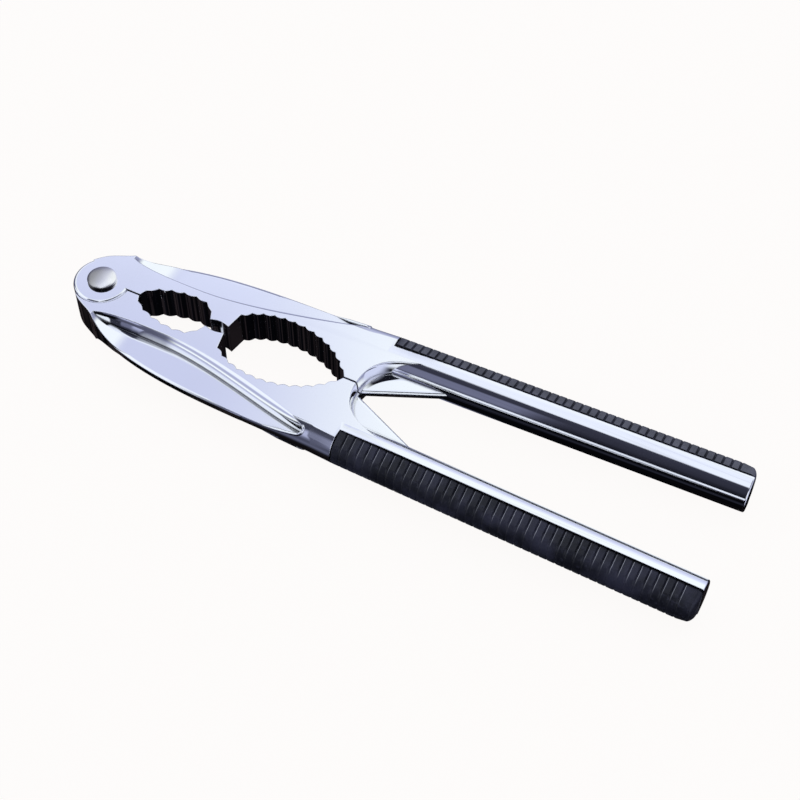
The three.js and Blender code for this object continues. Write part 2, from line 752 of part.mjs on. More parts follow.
const lowerArm = new THREE.Group();
lowerArm.add(piece('lower_lever', leverGeometry, chrome));
lowerArm.add(piece('lower_grip', gripGeometry, rubber));
lowerArm.rotation.x = Math.PI;

const nutcracker = new THREE.Group();
nutcracker.add(upperArm, lowerArm);
nutcracker.add(piece('pivot_rivet', geometryOf(rivet()), satinSteel));
nutcracker.add(piece('rivet_washer', geometryOf(washer()), satinSteel));

// The origin is the centre of the closed tool's footprint, where it lies.
const bounds = new THREE.Box3().setFromObject(nutcracker, true);
const centre = bounds.getCenter(new THREE.Vector3());
nutcracker.position.set(-centre.x, -centre.y, -bounds.min.z);

export default nutcracker;
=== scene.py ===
"""Studio scene of a hand-held lever nutcracker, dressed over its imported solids.

Two polished die-cast levers turn on one rivet. Each has a flat jaw with toothed
nut openings, a leaf-shaped pocket on its outer side, a thin web in its throat
and a round handle with a ribbed rubber grip let into its outer half.

The levers are drawn in millimetres in the upper lever's own frame: the origin
is on the pivot's axis at mid-plane, x runs towards the handle's end and y away
from the closing line. They are placed in the part's frame, in metres, last.
"""

import json
import logging
from collections.abc import Callable, Iterable, Iterator, Sequence
from contextlib import contextmanager
from dataclasses import dataclass
from enum import Enum
from math import atan2, cos, degrees, pi, radians, sin, sqrt, tan, tau

import bmesh
import bpy
from bmesh.types import BMEdge, BMesh, BMVert
from bpy.types import ID, ColorRamp, Material, Mesh, NodeSocket, Object, World
from mathutils import Matrix, Vector
from mathutils.geometry import interpolate_bezier


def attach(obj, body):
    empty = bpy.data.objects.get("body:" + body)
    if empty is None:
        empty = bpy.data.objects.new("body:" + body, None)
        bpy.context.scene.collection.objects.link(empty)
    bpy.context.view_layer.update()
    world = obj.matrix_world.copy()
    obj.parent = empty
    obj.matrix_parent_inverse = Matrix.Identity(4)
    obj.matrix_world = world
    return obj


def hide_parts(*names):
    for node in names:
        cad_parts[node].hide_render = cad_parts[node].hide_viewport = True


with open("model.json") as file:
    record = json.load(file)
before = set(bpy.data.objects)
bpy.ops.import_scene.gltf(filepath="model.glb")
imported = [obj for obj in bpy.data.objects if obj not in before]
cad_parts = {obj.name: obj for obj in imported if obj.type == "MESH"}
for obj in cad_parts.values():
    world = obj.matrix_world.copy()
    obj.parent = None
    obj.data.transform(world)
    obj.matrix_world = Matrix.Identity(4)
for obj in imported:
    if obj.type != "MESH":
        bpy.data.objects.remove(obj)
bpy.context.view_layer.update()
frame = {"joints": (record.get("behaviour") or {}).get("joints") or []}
PIVOT = frame["joints"][0]["pos_m"]  # the levers' own origin

log = logging.getLogger("nutcracker")

Point = tuple[float, float]
Curve = Sequence[Point]
Ring = list[Vector]
Colour = tuple[float, float, float, float]

BEYOND = 20.0  # mm, past either face of any solid
SAME = 1e-5  # mm, between points that are one point


class Arm(Enum):
    """The two bodies of the tool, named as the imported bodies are."""

    UPPER = "upper_arm"
    LOWER = "lower_arm"


class Cut(Enum):
    """How one solid acts on another."""

    JOIN = "UNION"
    REMOVE = "DIFFERENCE"


# ---- Plan geometry ----


def held(share: float) -> float:
    """A share held between 0 and 1."""
    return min(1.0, max(0.0, share))


def eased(share: float) -> float:
    """Smooth step of a share that is held between 0 and 1."""
    share = held(share)
    return share * share * (3 - 2 * share)


def heading(angle_deg: float) -> Vector:
    """Unit vector in plan at an angle from +X."""
    angle = radians(angle_deg)
    return Vector((cos(angle), sin(angle)))


def bezier(a: Point, b: Point, c: Point, d: Point, steps: int) -> Curve:
    """Points of a cubic curve, both ends included."""
    found = interpolate_bezier(*(Vector((*p, 0.0)) for p in (a, b, c, d)), steps + 1)
    return [(p.x, p.y) for p in found]


def value_at(curve: Curve, x: float) -> float:
    """Height of a curve that runs in +X, at one x, held level past its ends."""
    if x <= curve[0][0]:
        return curve[0][1]
    for (x0, y0), (x1, y1) in zip(curve, curve[1:]):
        if x <= x1:
            return y0 + (y1 - y0) * (x - x0) / (x1 - x0)
    return curve[-1][1]


def evenly(curve: Curve, count: int) -> list[tuple[Vector, Vector]]:
    """Evenly spaced points of a curve with their directions.

    Args:
        curve: Closely spaced points.
        count: How many points to return.

    Returns:
        Pairs of a point and the unit direction there.
    """
    points = [Vector(p) for p in curve]
    lengths = [0.0]
    for a, b in zip(points, points[1:]):
        lengths.append(lengths[-1] + (b - a).length)
    found = []
    k = 0
    for i in range(count):
        want = lengths[-1] * i / (count - 1)
        while k + 2 < len(points) and lengths[k + 1] < want:
            k += 1
        share = (want - lengths[k]) / (lengths[k + 1] - lengths[k])
        direction = (points[k + 1] - points[k]).normalized()
        found.append((points[k].lerp(points[k + 1], share), direction))
    return found


# ---- Solids ----


def loft(rings: Sequence[Ring]) -> BMesh:
    """Closed solid drawn through rings of equal length.

    Args:
        rings: Outlines in order; the first and last are closed with a face.

    Returns:
        The solid, with its faces pointing outwards.
    """
    bm = bmesh.new()
    current = [bm.verts.new(p) for p in rings[0]]
    bm.faces.new(current)
    edges = list(bm.edges)
    for ring in rings[1:]:
        made = bmesh.ops.extrude_edge_only(bm, edges=edges)["geom"]
        fresh = {g for g in made if isinstance(g, BMVert)}
        edges = [g for g in made if isinstance(g, BMEdge)]
        current = [
            next(e.other_vert(vert) for e in vert.link_edges if e.other_vert(vert) in fresh)
            for vert in current
        ]
        for vert, place in zip(current, ring):
            vert.co = place
    bm.faces.new(current)
    bmesh.ops.recalc_face_normals(bm, faces=bm.faces)
    return bm


def level(outline: Iterable[Point], z: float) -> Ring:
    """A plan outline laid at one height."""
    return [Vector((x, y, z)) for x, y in outline]


def prism(outline: Curve, low: float, high: float) -> BMesh:
    """Straight-walled solid of a plan outline between two heights."""
    return loft([level(outline, low), level(outline, high)])


def turned(profile: Curve, steps: int) -> BMesh:
    """Solid spun about Z from a profile of (radius, z) that starts and ends on the axis."""
    bm = bmesh.new()
    verts = [bm.verts.new((radius, 0.0, z)) for radius, z in profile]
    edges = [bm.edges.new(pair) for pair in zip(verts, verts[1:])]
    bmesh.ops.spin(
        bm, geom=[*verts, *edges], cent=(0, 0, 0), axis=(0, 0, 1), angle=tau, steps=steps,
        use_merge=True,
    )
    bmesh.ops.remove_doubles(bm, verts=bm.verts, dist=SAME)
    bmesh.ops.recalc_face_normals(bm, faces=bm.faces)
    return bm


def disc(radius: float, low: float, high: float, steps: int) -> BMesh:
    """Round plug about Z between two heights."""
    return turned([(0.0, low), (radius, low), (radius, high), (0.0, high)], steps)


def rounded_rims(bm: BMesh, radius: float, segments: int) -> BMesh:
    """Rounds the top and bottom rims of a prism."""
    rims = [e for e in bm.edges if abs(e.verts[0].co.z - e.verts[1].co.z) < SAME]
    bmesh.ops.bevel(
        bm, geom=rims, offset=radius, affect="EDGES", segments=segments,
        profile=0.5, material=-1, clamp_overlap=False,
    )
    return bm


def arc_points(radius: float, depth: float, steps: int) -> Curve:
    """(inset, drop) of a rounded edge, from its flat top out to its side."""
    angles = [pi / 2 * i / steps for i in range(steps + 1)]
    return [(radius * (1 - sin(a)), depth * (1 - cos(a))) for a in angles]


def linked(name: str, data: ID) -> Object:
    """A new object of the scene, at the origin."""
    made = bpy.data.objects.new(name, data)
    bpy.context.scene.collection.objects.link(made)
    return made


def foot_inset(radius: float, height: float) -> float:
    """How far a fillet at a wall's foot reaches in, at a height above the floor."""
    return radius - sqrt(radius**2 - (radius - min(radius, height)) ** 2)


class Block:
    """A solid in the making: a mesh object that other solids join or cut."""

    def __init__(self, name: str, bm: BMesh) -> None:
        """Makes the object and frees the bmesh."""
        mesh = bpy.data.meshes.new(name)
        bm.to_mesh(mesh)
        bm.free()
        self.object = linked(name, mesh)

    def apply(self) -> None:
        """Bakes the object's modifiers into its mesh."""
        graph = bpy.context.evaluated_depsgraph_get()
        done = bpy.data.meshes.new_from_object(self.object.evaluated_get(graph))
        old = self.object.data
        self.object.modifiers.clear()
        self.object.data = done
        bpy.data.meshes.remove(old)

    def combine(self, other: "Block", cut: Cut) -> "Block":
        """Joins another solid or cuts it away; it is used up."""
        modifier = self.object.modifiers.new("combine", "BOOLEAN")
        modifier.object = other.object
        modifier.operation = cut.value
        modifier.solver = "MANIFOLD"
        self.apply()
        bpy.data.meshes.remove(other.object.data)
        return self

    def joined(self, bm: BMesh) -> "Block":
        """Adds a solid."""
        return self.combine(Block("join", bm), Cut.JOIN)

    def without(self, bm: BMesh) -> "Block":
        """Cuts a solid away."""
        return self.combine(Block("cut", bm), Cut.REMOVE)

    def both_faces(self, make: Callable[[], BMesh], cut: Cut) -> "Block":
        """Combines a solid and its mirror image in the mid-plane."""
        self.combine(Block("upper", make()), cut)
        mirrored = make()
        bmesh.ops.scale(mirrored, vec=(1, 1, -1), verts=mirrored.verts)
        bmesh.ops.recalc_face_normals(mirrored, faces=mirrored.faces)
        return self.combine(Block("under", mirrored), cut)

    @contextmanager
    def opened(self) -> Iterator[BMesh]:
        """The mesh as a bmesh, written back afterwards."""
        bm = bmesh.new()
        bm.from_mesh(self.object.data)
        yield bm
        bm.to_mesh(self.object.data)
        bm.free()

    def tidied(self, join: float, flat_deg: float) -> "Block":
        """Merges points nearer than join, and faces that bend less than flat_deg."""
        with self.opened() as bm:
            bmesh.ops.remove_doubles(bm, verts=bm.verts, dist=join)
            bmesh.ops.dissolve_degenerate(bm, edges=bm.edges, dist=join)
            bmesh.ops.dissolve_limit(
                bm, angle_limit=radians(flat_deg), verts=bm.verts, edges=bm.edges)
        return self

    def shaded(self, sharp_deg: float) -> "Block":
        """Smooths the shading except across edges that bend more; broad faces stay level."""
        limit = radians(sharp_deg)
        with self.opened() as bm:
            for face in bm.faces:
                face.smooth = True
            for edge in bm.edges:
                edge.smooth = edge.is_manifold and edge.calc_face_angle(0.0) < limit
        normals = self.object.modifiers.new("normals", "WEIGHTED_NORMAL")
        normals.keep_sharp = True
        self.apply()
        return self


def placed(name: str, block: Block, arm: Arm) -> Object:
    """Copy of a lever-frame solid as a finished piece of one arm.

    Args:
        name: The piece's name.
        block: The solid, in the upper lever's frame.
        arm: The arm it belongs to; the lower one is turned half over.

    Returns:
        The piece, at the origin, with its place in its mesh.
    """
    mesh = block.object.data.copy()
    mesh.name = name
    turn = Matrix.Identity(4) if arm is Arm.UPPER else Matrix.Rotation(pi, 4, "X")
    mesh.transform(Matrix.Translation(PIVOT) @ Matrix.Scale(0.001, 4) @ turn)
    mesh.update()
    return linked(name, mesh)


# ---- Shader graphs ----


def arithmetic(operation: str, swapped: bool = False) -> Callable[..., "Signal"]:
    """A method of Signal that adds one Math node.

    Args:
        operation: The node's operation.
        swapped: Whether the other value comes first.

    Returns:
        The method, which takes a signal or a number.
    """

    def method(self: "Signal", other: "Signal | float") -> "Signal":
        """Adds the node and returns its output."""
        values = (other, self) if swapped else (self, other)
        return self.graph.add("Math", {"operation": operation}, dict(enumerate(values)))

    return method


class Signal:
    """A node output that takes part in ordinary arithmetic."""

    def __init__(self, graph: "Graph", socket: NodeSocket | None) -> None:
        """Wraps one output of a graph."""
        self.graph = graph
        self.socket = socket

    __add__ = __radd__ = arithmetic("ADD")
    __mul__ = __rmul__ = arithmetic("MULTIPLY")
    __sub__ = arithmetic("SUBTRACT")
    __rsub__ = arithmetic("SUBTRACT", swapped=True)
    __truediv__ = arithmetic("DIVIDE")
    most = arithmetic("MAXIMUM")
    bearing = arithmetic("ARCTAN2")  # angle of (other, self), in radians

    def ramp(self, low: float, high: float) -> "Signal":
        """Smooth step from 0 at low to 1 at high."""
        sockets = {"Value": self, "From Min": low, "From Max": high}
        return self.graph.add("MapRange", {"interpolation_type": "SMOOTHSTEP"}, sockets)


class Graph:
    """The node tree of a material or a world."""

    def __init__(self, owner: Material | World) -> None:
        """Clears the owner's tree."""
        owner.use_nodes = True
        self.tree = owner.node_tree
        self.tree.nodes.clear()

    def add(self, kind: str, settings: dict | None = None, sockets: dict | None = None,
            output: int | str = 0) -> Signal:
        """Adds a node.

        Args:
            kind: The node's type, without its prefix.
            settings: Attributes to set first; "stops" fills a colour ramp.
            sockets: Input name or number to a value or a signal.
            output: Which output to return.

        Returns:
            The chosen output.
        """
        node = self.tree.nodes.new("ShaderNode" + kind)
        for name, value in (settings or {}).items():
            if name == "stops":
                self._fill(node.color_ramp, value)
            else:
                setattr(node, name, value)
        for name, value in (sockets or {}).items():
            if isinstance(value, Signal):
                self.tree.links.new(value.socket, node.inputs[name])
            else:
                node.inputs[name].default_value = value
        return Signal(self, node.outputs[output]) if node.outputs else Signal(self, None)

    @staticmethod
    def _fill(ramp: ColorRamp, stops: Sequence[tuple[float, Colour]]) -> None:
        """Sets a colour ramp's stops."""
        while len(ramp.elements) > 1:
            ramp.elements.remove(ramp.elements[-1])
        for i, (place, colour) in enumerate(stops):
            element = ramp.elements[0] if i == 0 else ramp.elements.new(place)
            element.position = place
            element.color = colour

    def mix(self, share: Signal | float, a: object, b: object) -> Signal:
        """Mix of two colours."""
        return self.add("Mix", {"data_type": "RGBA"}, {0: share, 6: a, 7: b}, output=2)

    def parts(self, vector: Signal) -> tuple[Signal, Signal, Signal]:
        """The three components of a vector."""
        first = self.add("SeparateXYZ", {}, {0: vector})
        return tuple(Signal(self, each) for each in first.socket.node.outputs)

    def here(self) -> Signal:
        """Object coordinates."""
        return self.add("TexCoord", output="Object")

    def noise(self, vector: Signal, scale: float, detail: float) -> Signal:
        """Noise with a mean of about a half."""
        return self.add("TexNoise", {}, {"Vector": vector, "Scale": scale, "Detail": detail})

    def bump(self, height: Signal, distance: float, strength: float,
             over: Signal | None = None) -> Signal:
        """Normal of a height in units of a distance in metres, over another normal if given."""
        sockets = {"Height": height, "Distance": distance, "Strength": strength}
        if over is not None:
            sockets["Normal"] = over
        return self.add("Bump", {}, sockets)


def tone(shade: float) -> Colour:
    """Grey of the studio's light, from black at 0 to white at 255, bluer where darker."""
    light = (shade / 255) ** 2.2
    cool = 1 + 0.62 * (1 - light) ** 0.6
    return 0.94 * light, light, min(1.0, light * cool), 1.0


# ---- Finishes ----


@dataclass(frozen=True)
class Finish:
    """A surface finish, built as one principled shader."""

    name: str

    def surface(self, graph: Graph, here: Signal) -> dict[str, object]:
        """The shader's inputs by name, from the material's tree and object coordinates."""
        raise NotImplementedError

    def material(self) -> Material:
        """Builds the finish."""
        made = bpy.data.materials.new(self.name)
        graph = Graph(made)
        sockets = self.surface(graph, graph.here())
        shader = graph.add("BsdfPrincipled", {}, sockets)
        graph.add("OutputMaterial", {}, {"Surface": shader})
        return made


@dataclass(frozen=True)
class Chrome(Finish):
    """Polished chrome plate over a die casting."""

    name: str = "chrome_plate"
    tint: Colour = (0.93, 0.935, 0.95, 1.0)
    haze: float = 0.045  # roughness of the clean plate
    smear: float = 0.05  # extra roughness where it was handled
    edge: float = 0.0003  # radius the plating leaves on every edge
    crease: float = 0.0012  # reach of the painted shade in inner corners
    drawn: Colour = (0.70, 0.70, 0.74, 1.0)  # polishing lines along the handles
    # painted shade, laid in creases and on the head's back edges
    painted_shade: Colour = (0.05, 0.05, 0.06, 1.0)

    def surface(self, graph: Graph, here: Signal) -> dict[str, object]:
        """Handled plate, lines along the handles, and painted shade in creases and on the head's
        back edges.
        """
        touched = graph.noise(here, 45.0, 3.0).ramp(0.45, 0.75)
        ripple = graph.noise(here, 90.0, 2.0)
        rounded = graph.add("Bevel", {"samples": 6}, {"Radius": self.edge})
        stretched = {"Vector": here, "Scale": (12.0, 1400.0, 1400.0)}
        along = graph.add("Mapping", {}, stretched)
        handle = graph.parts(here)[0].ramp(-0.005, 0.03)
        lines = graph.noise(along, 1.0, 2.0).ramp(0.5, 0.72) * handle
        # painted shade: occlusion darkens the base colour in inner corners and creases
        crease = graph.add("AmbientOcclusion", {"samples": 8, "only_local": True},
                           {"Distance": self.crease}, output="AO").ramp(0.92, 0.66)
        plate = graph.mix(touched, self.tint, tuple(0.97 * c for c in self.tint))
        plate = graph.mix(0.4 * lines, plate, self.drawn)
        # painted shade: at the head, the rounded edges that turn from the top to the back are
        # darkened
        flat = graph.parts(graph.add("NewGeometry", output="True Normal"))[2]
        head = graph.parts(here)[0].ramp(-0.012, -0.02)
        away = graph.parts(rounded)[1].ramp(0.1, 0.3) * flat.ramp(0.9, 0.97) * head
        # base colour: the plate, with the painted shade of creases and back edges mixed in
        return {
            "Base Color": graph.mix((0.9 * crease).most(0.8 * away), plate, self.painted_shade),
            "Metallic": 1.0,
            "Roughness": self.haze + self.smear * touched,
            "Normal": graph.bump(ripple, 0.00002, 0.12, rounded),
        }


@dataclass(frozen=True)
class Rubber(Finish):
    """Moulded black rubber with a fine spark-eroded texture."""

    name: str = "grip_rubber"
    dark: Colour = (0.006, 0.0065, 0.012, 1.0)
    wear_and_painted_light: Colour = (0.031, 0.031, 0.054, 1.0)
    rib_highlight: Colour = (0.62, 0.62, 0.66, 1.0)  # painted highlight: thin light line along each rib's edge
    dull_and_shaded: float = 0.42

    def surface(self, graph: Graph, here: Signal) -> dict[str, object]:
        """Worn patches and scuffs, painted highlights on the ribs and painted shade along the
        seam.
        """
        patch = graph.noise(here, 140.0, 4.0).ramp(0.35, 0.7)
        grain = graph.noise(here, 2600.0, 2.0)
        scuffs = graph.noise(here, 900.0, 5.0).ramp(0.56, 0.7)
        lip = graph.add("Attribute", {"attribute_name": "lip"}, output="Fac")
        seam = graph.add("Attribute", {"attribute_name": "seam"}, output="Fac")
        # painted shade: the skin stays at the dark colour along the seam
        skin = graph.mix(patch.most(0.6 * scuffs) * (1 - seam), self.dark, self.wear_and_painted_light)
        return {
            # painted highlight: the ribs' edges on one flank and the ribs on the other turn
            # lighter
            "Base Color": graph.mix(lip * (0.55 + 0.45 * patch) * (1 - seam), skin, self.rib_highlight),
            "Roughness": self.dull_and_shaded + 0.12 * patch + 0.4 * seam,
            "Specular IOR Level": 0.42, "Sheen Weight": 0.08, "Sheen Roughness": 0.4,
            "Normal": graph.bump(grain + 1.2 * scuffs, 0.00008, 0.5),
        }


@dataclass(frozen=True)
class SatinSteel(Finish):
    """Tumbled steel of the rivet and its washer."""

    name: str = "rivet_satin"
    tint: Colour = (0.99, 0.97, 0.95, 1.0)
    dull_and_shaded: Colour = (0.30, 0.29, 0.30, 1.0)  # painted shade on the -x side
    stain: Colour = (0.55, 0.53, 0.52, 1.0)  # faint patches
    # painted shade at the front of the head's foot
    painted_shade: Colour = (0.02, 0.018, 0.02, 1.0)
    foot_mm: float = 6.76  # above the pivot's centre, where the painted shade at the head's foot ends

    def surface(self, graph: Graph, here: Signal) -> dict[str, object]:
        """Satin steel with painted shade on its -x side and at the front of the head's foot."""
        patch = graph.noise(here, 300.0, 4.0).ramp(0.3, 0.75)
        pits = graph.noise(here, 2200.0, 3.0)
        x, y, z = (1000.0 * (part - place) for part, place in zip(graph.parts(here), PIVOT))
        # painted shade: the -x side is darker, the +x side lighter
        wear_and_painted_light = graph.mix(x.ramp(-2.8, 3.4), self.dull_and_shaded, self.tint)
        # painted shade: a dark band at the front of the head's foot
        foot = z.ramp(self.foot_mm, self.foot_mm - 0.2) * y.ramp(1.0, -1.5)
        return {
            "Base Color": graph.mix(foot, graph.mix(0.2 * patch, wear_and_painted_light, self.stain), self.painted_shade),
            "Metallic": 1.0,
            "Roughness": 0.26 + 0.06 * patch,
            "Normal": graph.bump(pits, 0.00003, 0.04),
        }


# ---- Lever ----


@dataclass
class Lever:
    """One die-cast lever, drawn as the upper one."""

    half: float = 5.7  # mid-plane to the plateau
    floor: float = 1.3  # mid-plane to the pocket's floor and the web's faces
    closing: float = 0.25  # jaw face, from the closing line
    eye_radius: float = 8.3
    eye_round: float = 0.9
    eye_leaves_deg: float = 140.0  # where the head's outline leaves the eye's rim
    lap: float = 0.3
    bore: float = 2.7
    corner: Point = (2.75, 11.5)  # of the head
    corner_deg: float = 26.7  # way the outline arrives there
    head_pull: float = 5.0  # of the curve between the two
    wing_deg: float = 32.0  # way the wing's edge sets out from the corner
    wing_pull: float = 21.0
    tuck: float = 1.5  # how far the body stays behind the wing's edge
    tuck_run: Point = (12.0, 14.0)  # x where that starts, and over what length
    ramp_start: float = 3.8
    ramp_length: float = 11.0
    waist: Point = (27.0, 8.8)
    hollow: tuple = (0.145, 0.96, 0.37)  # pulls of the plateau's edge before the waist
    swell: tuple = (0.39, 0.01, 0.08)  # and after it
    small_opening: tuple = ((13.3, 2.15), (14.88, 5.51), (31.5, 9.72), (33.8, 3.85))
    small_teeth: int = 6
    slot: Point = (34.95, 1.3)  # start of the slot between the openings
    slot_length: float = 5.9
    slot_bow: float = 0.6
    large_opening: tuple = ((41.85, 6.6), (48.5, 13.3), (67.5, 13.6), (76.7, 2.25))
    large_teeth: int = 12
    mouths: Point = (12.5, 77.95)  # x where the jaw's faces reach the openings
    neck_x: float = 78.0
    neck_flat_end: float = 84.5
    plateau_leaves: float = 71.5
    nose: Point = (76.1, 19.6)  # tip of the pocket's far end
    nose_width: float = 2.15
    rim_leaves: float = 57.0
    spread: float = 2.35
    taper_start: float = 46.0
    taper_end: float = 72.0
    root_radius: float = 1.5
    bead_radius: float = 0.4
    crown: float = 1.8  # radius of the wing's rims, down to a steep side
    crown_deg: float = 34.0
    jaw_end: float = 81.6
    throat_rise: float = 9.3
    throat_pull: Point = (0.3, 0.05)
    throat_end: float = 104.0
    throat_spread: float = 0.7
    throat_fade: Point = (95.0, 9.0)  # x where the spread starts to go, and over what length
    web_outline: tuple = ((79.6, 0.54), (82.75, 0.54), (107.0, 11.35), (107.0, 15.5), (79.6, 15.5))
    web_rim: float = 1.1
    axis_y: float = 15.8
    splay_deg: float = 1.6  # of the handle's axis from the closing line
    neck_radius: float = 5.95
    handle_radius: float = 6.2
    lip_x: float = 85.3
    end_x: float = 189.66
    end_round: float = 0.5
    tooth: float = 0.6
    steps: int = 112  # round the handle
    eye_steps: int = 160
    fillet: float = 0.25  # round the foot of the pocket's wall
    web_fillet: float = 0.55  # round the foot of the throat's wall

    def axis_at(self, x: float) -> float:
        """Height in plan of the handle's axis."""
        return self.axis_y + (x - self.neck_x) * tan(radians(self.splay_deg))

    def split(self) -> tuple[Vector, Vector, Vector]:
        """Where the grip starts on the handle's axis, and the ways along and across it."""
        start = Vector((self.lip_x, self.axis_at(self.lip_x)))
        return start, heading(self.splay_deg), heading(self.splay_deg + 90)

    # Outlines in plan

    def head_curve(self) -> Curve:
        """From the eye's rim to the head's corner."""
        leave = heading(self.eye_leaves_deg) * self.eye_radius
        swell = leave + heading(self.eye_leaves_deg - 90) * self.head_pull
        arrive = Vector(self.corner) - heading(self.corner_deg) * self.head_pull
        return bezier(tuple(leave), tuple(swell), tuple(arrive), self.corner, 24)

    def wing_curve(self) -> Curve:
        """The wing's outer edge, from the head's corner to the neck."""
        lead = Vector(self.corner) + heading(self.wing_deg) * self.wing_pull
        root = Vector((self.neck_x, self.axis_y + self.neck_radius))
        merge = root - heading(self.splay_deg) * (self.neck_x - self.corner[0]) / 3
        return bezier(self.corner, tuple(lead), tuple(merge), tuple(root), 120)

    def nose_side(self) -> Point:
        """Where the plateau's edge turns into the nose."""
        return self.nose[0] - 0.3 * self.nose_width, self.nose[1] - 0.4 * self.nose_width

    def plateau_edge(self) -> Curve:
        """The plateau's outer edge, from the head's corner to the pocket's nose."""
        (cx, cy), (wx, wy) = self.corner, self.waist
        side_x, side_y = self.nose_side()
        lead, fall, arrive = self.hollow
        back = bezier(
            self.corner, (cx + lead * (wx - cx), cy - fall * (cy - wy)),
            (wx - arrive * (wx - cx), wy), self.waist, 40,
        )
        lead, arrive, rise = self.swell
        on = bezier(
            self.waist, (wx + lead * (side_x - wx), wy),
            (side_x - arrive * (side_x - wx), side_y - rise * (side_y - wy)),
            (side_x, side_y), 90,
        )
        return [*back, *on[1:]]

    def wall_spread(self) -> Curve:
        """How far the pocket wall's foot stands out from its top, along x."""
        start, span = self.corner[0], self.nose[0] - self.waist[0]
        return bezier(
            (start, 0.38 * self.spread), (self.waist[0] + 0.27 * span, 0.64 * self.spread),
            (self.waist[0] + 0.8 * span, 1.83 * self.spread), (self.nose[0] + 1, 0.0), 60,
        )

    def ramp_curve(self) -> Curve:
        """(x, z) of the ramp at the pocket's head end, from the top down."""
        x, drop = self.ramp_start, self.half - self.floor
        return bezier(
            (x, self.half), (x + 0.15 * self.ramp_length, self.floor + 0.4 * drop),
            (x + 0.45 * self.ramp_length, self.floor),
            (x + 1.35 * self.ramp_length, self.floor), 60,
        )

    def toothed(self, curve: Curve, teeth: int) -> Curve:
        """A line of notches with a round-crowned tooth between each two."""
        per_tooth = 12  # points
        found = []
        for i, (notch, along) in enumerate(evenly(curve, teeth * per_tooth + 1)):
            rise = self.tooth * abs(sin(pi * i / per_tooth))
            found.append((notch.x + rise * along.y, notch.y - rise * along.x))
        return found

    def jaw_line(self) -> Curve:
        """Everything on the far side of the jaw's working edge."""
        small = self.toothed(bezier(*self.small_opening, 300), self.small_teeth)
        large = self.toothed(bezier(*self.large_opening, 400), self.large_teeth)
        slot_x, slot_y = self.slot
        slot = []
        for i in range(13):
            bow = self.slot_bow * sin(pi * i / 12)
            slot.append((slot_x + self.slot_length * i / 12, slot_y + bow))
        behind, beyond, below = -60, 260, -60
        return [
            (behind, below), (behind, self.closing), (self.mouths[0], self.closing),
            *small, *slot, *large,
            (self.mouths[1], self.closing), (beyond, self.closing), (beyond, below),
        ]

    # Solids

    def body(self) -> BMesh:
        """Everything of full depth, before the pocket is cut."""
        tuck_x, tuck_length = self.tuck_run  # past the ramp the plate shows its own edge
        wing = [(x, y - self.tuck * eased((x - tuck_x) / tuck_length))
                for x, y in self.wing_curve()[1:] if x < self.rim_leaves]
        end_y = self.axis_at(self.throat_end) - self.handle_radius / 4
        span = self.throat_end - self.jaw_end
        pull_x, pull_y = self.throat_pull
        throat = bezier(
            (self.jaw_end, self.closing), (self.jaw_end, self.closing + self.throat_rise),
            (self.jaw_end + pull_x * span, end_y - pull_y * span), (self.throat_end, end_y), 60,
        )
        neck_edge = self.axis_y + sqrt(self.neck_radius**2 - self.half**2)
        fixed = [(0.0, 0.0), *self.head_curve(), *wing, (self.rim_leaves, self.nose[1]),
                 (self.plateau_leaves, self.nose[1] - self.spread / 4),
                 (self.plateau_leaves, neck_edge), (self.neck_flat_end, neck_edge),
                 (self.throat_end, self.axis_at(self.throat_end) + 1)]
        fade_x, fade_length = self.throat_fade
        rings = []
        for z, out in self.wall_levels():
            moving = []
            reach = self.throat_spread * out + foot_inset(self.web_fillet, abs(z) - self.floor)
            for point, along in evenly(throat, len(throat)):
                normal = Vector((along.y, -along.x))
                fade = 1 - max(0.0, (point.x - fade_x) / fade_length)
                moving.append(tuple(point + normal * reach * fade))
            jaw = [(self.jaw_end + reach, -3.0), (0.0, -3.0)]  # the jaw's cut takes this off
            rings.append(level([*fixed, *reversed(moving), *jaw], z))
        return loft(rings)

    def wall_levels(self) -> Curve:
        """(z, outset share) down a wall that rounds over from the plateau."""
        turns = [pi / 2 * i / 18 for i in range(19)]
        top = [(self.floor + (self.half - self.floor) * cos(t), sin(t)) for t in turns]
        return [*top, *((-z, out) for z, out in reversed(top))]

    def pocket(self) -> BMesh:
        """Leaf-shaped space over the wing: ramp, rounded wall and round nose."""
        wall, spread = self.plateau_edge(), self.wall_spread()
        by_height = sorted((z, x) for x, z in self.ramp_curve())
        drop = self.half - self.floor
        heights = {round(self.floor + drop * cos(pi / 2 * i / 24), 4) for i in range(25)}
        heights |= {round(z, 4) for z, _ in by_height[::2]}
        rings = []
        for z in sorted(heights):
            out = sqrt(max(0.0, 1 - ((z - self.floor) / drop) ** 2))
            inset = foot_inset(self.fillet, z - self.floor)
            start = value_at(by_height, z)
            rings.append(level(self.pocket_outline(wall, spread, start, out, inset), z))
        rings.append([Vector((p.x, p.y, self.half + 3)) for p in rings[-1]])
        return loft(rings)

    def pocket_outline(self, wall: Curve, spread: Curve,
                       start: float, out: float, inset: float) -> Curve:
        """Plan of the pocket at one height.

        Args:
            wall: The plateau's outer edge.
            spread: The wall's spread along x.
            start: Where the ramp stands at this height.
            out: Share of the spread reached at this height.
            inset: How far the fillet above the floor still reaches in.

        Returns:
            The outline, from the ramp along the wall and round the nose.
        """
        side_x, nose, rim = self.nose_side()[0], *self.nose_lines()
        found = []
        for i in range(120):
            x = start + (side_x - start) * i / 119
            found.append((x, value_at(wall, x) + out * value_at(spread, x) + 0.7 * inset))
        for i, (x, y) in enumerate(nose[1:], 1):
            share = i / (len(nose) - 1)
            lift = (out * value_at(spread, x) + 0.7 * inset) * (1 - share) - 0.7 * inset * share
            found.append((x - inset * sin(pi * share), y + lift))
        found += [(x, y - 0.7 * inset) for x, y in rim[1:]]
        return [*found, (self.rim_leaves - 0.5, 34.0), (start, 34.0)]

